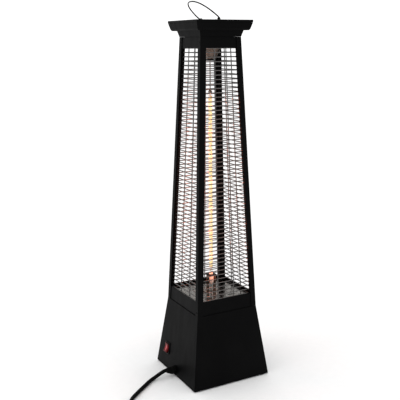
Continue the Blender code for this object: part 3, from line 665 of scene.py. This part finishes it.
# ---- Grilles ----
def make_grille(side, name):
    """Round wires between two flat edge bars, with two uprights behind them and a weld at each crossing."""
    slant = math.cos(TOWER_SLOPE)
    axes = side_frame(side, tower_half(FIRST_WIRE_Z), FIRST_WIRE_Z, TOWER_SLOPE, GRILLE_INSET + WIRE / 2)
    rungs = [i * WIRE_PITCH / slant for i in range(WIRE_COUNT)]
    low, high = rungs[0], rungs[-1]
    grille = Shape()

    def span(up):
        return tower_half(FIRST_WIRE_Z + up * slant) - GRILLE_CLEAR - EDGE_BAR[0] / 2

    def upright_x(up):
        return UPRIGHT_SHARE * tower_half(FIRST_WIRE_Z + up * slant)

    for up in rungs:
        half = span(up)
        bow, lift = (DICE.uniform(-reach, reach) for reach in WIRE_WOBBLE)
        path = []
        for k in range(7):
            x = lerp(-half, half, k / 6)
            path.append(axes @ Vector((x, up + lift + bow * math.cos(math.pi * x / half / 2), 0)))
        grille.tube(path, WIRE / 2, sides=8)
        for sign in (-1, 1):
            end = axes @ Vector((sign * half, up + lift, 0))
            grille.blob(end, axes.to_3x3(), (0.0017, 0.0013, 0.0013), 6)
            spot = axes @ Vector((sign * upright_x(up), up + lift, -0.9 * WIRE / 2))
            grille.blob(spot, axes.to_3x3(), (0.0012, 0.0012, 0.0010), 6)
    for sign in (-1, 1):
        thick, deep = EDGE_BAR
        bar = Shape()
        rings = []
        for up in (low - BAR_OVERHANG, high + BAR_OVERHANG):
            middle = axes @ Vector((sign * span(up), up, BAR_FRONT - deep / 2))
            ring = rounded(thick, deep, 0.0004, 0, 3)
            rings.append([middle + axes.to_3x3() @ Vector((p.x, 0, p.y)) for p in ring])
        bar.loft(rings)
        bar.piece(f"edge_bar_{name}_{'left' if sign < 0 else 'right'}", PAINT, slot="black_paint")
        back = -1.15 * WIRE
        route = [(low - 0.0002, -0.4 * WIRE), (low, -0.85 * WIRE), (low + 0.0015, back)]
        route += [(lerp(low, high, k / 12), back) for k in range(1, 12)]
        route += [(high - 0.0015, back), (high, -0.85 * WIRE), (high + 0.0002, -0.4 * WIRE)]
        path = [axes @ Vector((sign * upright_x(up), up, depth)) for up, depth in route]
        grille.tube(path, WIRE / 2, sides=8)
    piece = grille.piece("wires_" + name, BRIGHT, slot="chromed_wire", smooth=50)
    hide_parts("grille_" + name)


# ---- Lamp ----
def make_lamp():
    low, high = TUBE_Z
    outer, inner = TUBE_RADIUS, TUBE_RADIUS - 0.0011
    tube = Shape()
    profile = [(inner, low + 0.0030), (inner, high - 0.0030), (0.0036, high), (0.0046, high)]
    profile += [(outer - 0.0004, high - 0.0020), (outer, high - 0.0040), (outer, low + 0.0040)]
    profile += [(outer - 0.0004, low + 0.0020), (0.0046, low), (0.0036, low)]
    tube.turn(profile, at(0, 0, 0), 36)
    piece = tube.piece("lamp_glass", QUARTZ, slot="quartz")
    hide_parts("lamp_tube")

    ribbon = Shape()
    bottom, top = GLOW_Z
    pitch, radius, wide, thick, per_turn = 0.0098, 0.0043, 0.0050, 0.0005, 20
    steps = int((top - bottom) / pitch * per_turn)
    rings = []
    for i in range(steps + 1):
        z = lerp(bottom, top, i / steps)
        turn = TAU * (z - bottom) / pitch
        end = min(1.0, 4 * i / per_turn, 4 * (steps - i) / per_turn) * 0.8 + 0.2
        ring = []
        for dr, dz in ((-1, -1), (1, -1), (1, 1), (-1, 1)):
            r = radius + dr * thick / 2
            ring.append(Vector((r * math.cos(turn), r * math.sin(turn), z + dz * end * wide / 2)))
        rings.append(ring)
    ribbon.loft(rings)
    for z0, z1 in ((low - 0.0002, bottom), (top, high + 0.0002)):
        ribbon.tube([(0, 0, z0), (0, 0, lerp(z0, z1, 0.5)), (0.0008, 0, z1 - 0.0004)], 0.0007, sides=8)
    piece = ribbon.piece("lamp_spiral", GLOWING, slot="glowing_element", smooth=60)
    piece.visible_shadow = False
    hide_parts("lamp_element")

    for k in range(7):
        light = bpy.data.lights.new(f"glow_{k}", "POINT")
        light.color = (1.0, 0.24, 0.12)
        light.energy = 0.10
        light.shadow_soft_size = 0.005
        spot = bpy.data.objects.new(f"glow_{k}", light)
        spot.location = (0, 0, lerp(0.310, 0.700, k / 6))
        bpy.context.scene.collection.objects.link(spot)


# ---- Bail handle ----
def make_bail():
    pivot = at(0, 0, BAIL_AXIS_Z) @ Matrix.Rotation(-BAIL_LEAN, 4, "Y")
    steps = 72
    hook = ((0.0388, 0), (0.0420, 0), (0.0448, 0), (0.0468, 0.0002), (0.0482, 0.0010))
    loop = [(0, -y, z) for y, z in hook]
    for i in range(2, steps - 1):
        turn = math.pi * i / steps
        across = abs(math.cos(turn)) ** (2 / BAIL_ROUNDNESS) * math.copysign(1, -math.cos(turn))
        up = math.sin(turn) ** (2 / BAIL_ROUNDNESS)
        loop.append((0, BAIL_HALF_SPAN * across, BAIL_HEIGHT * up))
    loop += [(0, y, z) for y, z in reversed(hook)]
    bail = Shape()
    bail.tube([pivot @ Vector(p) for p in loop], BAIL_WIRE, sides=16)
    piece = bail.piece("bail_wire", CHROME, body="bail", slot="chromed_wire", smooth=60)
    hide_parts("bail_handle")


# ---- Switch ----
def make_switch():
    wall = left_wall(SWITCH_Y, SWITCH_Z)
    body = Shape()
    well, deep = -0.0060, 0.0010 - 0.0200
    rings = [
        rounded(0.0182, 0.0260, 0.0006, well),
        rounded(0.0184, 0.0262, 0.0008, 0.0016),
        rounded(0.0192, 0.0270, 0.0011, 0.0022),
        rounded(0.0204, 0.0280, 0.0014, 0.0023),
        rounded(0.0240, 0.0308, 0.0022, 0.0021),
        rounded(0.0250, 0.0318, 0.0025, 0.0016),
        rounded(0.0252, 0.0320, 0.0026, 0.0009),
        rounded(0.0252, 0.0320, 0.0026, 0.0003),
        rounded(0.0212, 0.0280, 0.0010, 0.0003),
        rounded(0.0212, 0.0280, 0.0010, deep + 0.0008),
        rounded(0.0200, 0.0268, 0.0010, deep),
    ]
    body.loft([[wall @ p for p in ring] for ring in rings])
    for sign in (-1, 1):
        for row in range(3):
            spot = wall @ Vector((sign * 0.0112, (row - 1) * 0.0045, 0.0022))
            body.blob(spot, wall.to_3x3(), (0.0004, 0.0012, 0.0002), 6)
    piece = body.piece("switch_housing", PLASTIC, slot="black_plastic")
    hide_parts("switch_body")

    pivot = wall @ at(0, 0, -0.0015) @ Matrix.Rotation(-ROCKER_TILT, 4, "X")
    half_up, half_wide = 0.0120, 0.0088
    top = []
    for k in range(25):
        u = lerp(-half_up, half_up, k / 24)
        share = abs(u) / half_up
        height = 0.0057 + 0.0022 * share**1.6
        if share > 0.94:
            height -= 0.0007 * ((share - 0.94) / 0.06) ** 2
        top.append((u, height))
    outline = [*top, (half_up, 0.0052), (0.0060, -0.0016), (-0.0060, -0.0016), (-half_up, 0.0052)]
    rocker = Shape()
    rings = []
    middle = Vector((0, 0.0035))
    for x, shrink in ((-1, 0.955), (-0.975, 0.985), (-0.93, 1.0), (0.93, 1.0), (0.975, 0.985), (1, 0.955)):
        ring = []
        for u, h in outline:
            ring.append(pivot @ Vector((x * half_wide, u * shrink, middle.y + (h - middle.y) * shrink)))
        rings.append(ring)
    rocker.loft(rings)
    for x in (-0.0042, -0.0021, 0, 0.0021, 0.0042):
        rocker.blob(pivot @ Vector((x, -0.0086, 0.0069)), pivot.to_3x3(), (0.0005, 0.0017, 0.0004), 8)
    piece = rocker.piece("rocker_lens", RED, body="rocker", slot="red_rocker", smooth=40)
    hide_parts("switch_rocker")


# ---- Small fastenings ----
def make_fastenings():
    """Rivets in the paint's colour: on the posts' ends and on the bail's lugs."""
    heads = Shape()

    def pan(spot, axes, radius):
        centre = axes.to_3x3()
        heads.blob(spot, centre, (radius, radius, radius * 0.55), 16)

    for side in range(4):
        for share in (-0.90, 0.90):
            for z, radius in ((0.8535, 0.0020), (0.1960, 0.0022)):
                wall = side_frame(side, tower_half(z), z, TOWER_SLOPE)
                pan(wall @ Vector((share * tower_half(z), 0, -0.0001)), wall, radius)
    for sign in (-1, 1):
        for x in (-0.0032, 0.0032):
            spot = Vector((x, sign * 0.0352, CAP_TOP_Z + 0.0013))
            pan(spot, Matrix.Identity(4), 0.0015)
    heads.piece("paint_rivets", PAINT, slot="black_paint")


# ---- Materials of the carried-over CAD pieces ----
def dress_nodes():
    looks = {
        "black_paint": PAINT,
        "stainless": STEEL_TOP,
        "chromed_wire": BRIGHT,
        "zinc_plate": ZINC,
        "black_rubber": RUBBER,
        "black_plastic": PLASTIC,
        "red_rocker": RED,
        "ceramic": CERAMIC,
        "quartz": QUARTZ,
        "glowing_element": GLOWING,
        "brass": BRASS,
        "wire_sleeve": SLEEVE,
    }
    special = {"floor_reflector": STEEL_FLOOR, "lamp_socket_lower": PAINTED_GLOW_CERAMIC, "lamp_cap_upper": STEEL_TOP}
    for row in frame["record"]["subparts"]:
        node = NODES[row["node"]]
        look = special.get(row["node"], looks[row["material_slot"]])
        if not node.material_slots:
            node.data.materials.append(look)
        for slot in node.material_slots:
            slot.material = look


# ---- Studio ----
def make_studio():
    floor_mesh = bpy.data.meshes.new("floor")
    floor_mesh.from_pydata([(-30, -30, 0), (30, -30, 0), (30, 30, 0), (-30, 30, 0)], [], [(0, 1, 2, 3)])
    floor = bpy.data.objects.new("floor", floor_mesh)
    bpy.context.scene.collection.objects.link(floor)
    look = Look("pale_floor", Specular_IOR_Level=0.1)
    broad = look.spread(look.noise(60, 3), 0, 1)
    look.set("Base_Color", look.mix(broad, (0.905, 0.905, 0.905), (0.915, 0.915, 0.915)))
    look.set("Roughness", look.spread(look.noise(8, 3), 0.8, 0.95))
    floor_mesh.materials.append(look.material)

    world = bpy.data.worlds.new("studio")
    bpy.context.scene.world = world
    world.use_nodes = True
    world.node_tree.nodes["Background"].inputs["Color"].default_value = (1.0, 1.0, 1.0, 1)
    world.node_tree.nodes["Background"].inputs["Strength"].default_value = 0.96

    def softbox(name, spot, aim, size, energy):
        light = bpy.data.lights.new(name, "AREA")
        light.shape = "RECTANGLE"
        light.size, light.size_y = size
        light.energy = energy
        item = bpy.data.objects.new(name, light)
        item.location = spot
        item.rotation_euler = (Vector(aim) - Vector(spot)).to_track_quat("-Z", "Y").to_euler()
        bpy.context.scene.collection.objects.link(item)

    softbox("key", (-2.6, 0.3, 1.7), (0, 0, 0.45), (1.6, 2.0), 8)
    view = bpy.context.scene.view_settings
    view.view_transform = "Standard"
    view.look = "Medium High Contrast"


make_camera()
make_lead()
for number, title in enumerate(SIDES):
    make_grille(number, title)
make_lamp()
make_bail()
make_switch()
make_fastenings()
dress_nodes()
make_studio()
